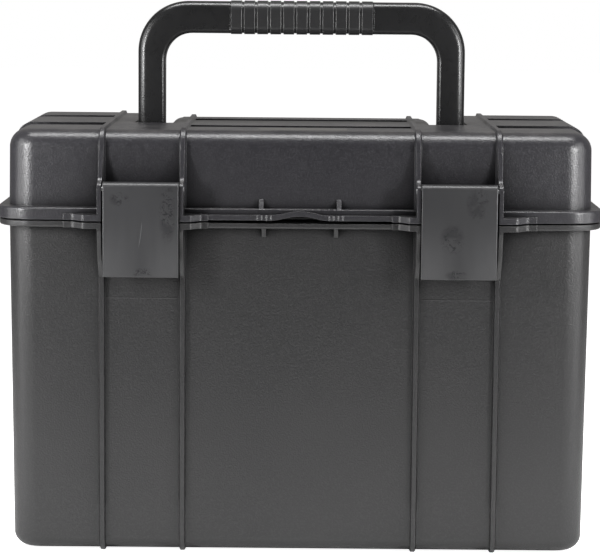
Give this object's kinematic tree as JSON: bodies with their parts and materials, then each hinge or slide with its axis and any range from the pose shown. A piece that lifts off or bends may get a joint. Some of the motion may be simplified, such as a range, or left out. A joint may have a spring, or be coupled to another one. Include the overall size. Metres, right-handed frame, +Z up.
{
  "type": "drone carrying case",
  "caption": "Tall hard-shell carrying case with a hinged lid, front latches, a fold-down top handle and cut foam inside for a drone and its accessories.",
  "frame": {"origin": "centre of the case's footprint, on the plane its bottom rib runners stand on", "axes": "+X to the right seen from the front, +Y to the back (hinge side), +Z up; the latches are on the -Y side"},
  "size_m": [0.4, 0.251, 0.366],
  "materials": {
    "shell_plastic": "fine stipple, satin",
    "latch_plastic": "smooth satin with handling marks",
    "handle_plastic": "semi-gloss",
    "grip_plastic": "matt, ribbed",
    "badge_plastic": "satin, blank",
    "seal_rubber": "matt",
    "foam_dark": "open-cell, matt",
    "foam_grey": "open-cell, matt",
    "webbing": "woven",
    "pin_steel": "satin"
  },
  "bodies": {
    "base": {"base_shell": "shell_plastic", "hinge_pin_left": "pin_steel", "hinge_pin_right": "pin_steel", "foam_floor_pad": "foam_dark", "foam_lower_block": "foam_dark", "foam_upper_tray": "foam_dark", "tray_lift_loop_left": "webbing", "tray_lift_loop_right": "webbing"},
    "lid": {"lid_shell": "shell_plastic", "badge_plate": "badge_plastic", "lid_seal": "seal_rubber", "lid_foam": "foam_grey", "handle_pin_left": "pin_steel", "handle_pin_right": "pin_steel", "latch_pin_left": "pin_steel", "latch_pin_right": "pin_steel"},
    "handle": {"handle_bail": "handle_plastic", "handle_grip": "grip_plastic"},
    "latch_left": {"latch_plate_left": "latch_plastic"},
    "latch_right": {"latch_plate_right": "latch_plastic"}
  },
  "joints": [
    {"name": "lid_hinge", "type": "hinge", "parent": "base", "child": "lid", "pos_m": [0, 0.1203, 0.2233], "axis": [-1, 0, 0], "range_deg": [0, 100]},
    {"name": "handle_hinge", "type": "hinge", "parent": "lid", "child": "handle", "pos_m": [0, -0.007, 0.271], "axis": [-1, 0, 0], "range_deg": [0, 90]},
    {"name": "latch_left_hinge", "type": "hinge", "parent": "lid", "child": "latch_left", "pos_m": [-0.1037, -0.1185, 0.2445], "axis": [-1, 0, 0], "range_deg": [0, 150]},
    {"name": "latch_right_hinge", "type": "hinge", "parent": "lid", "child": "latch_right", "pos_m": [0.1037, -0.1185, 0.2445], "axis": [-1, 0, 0], "range_deg": [0, 150]}
  ]
}
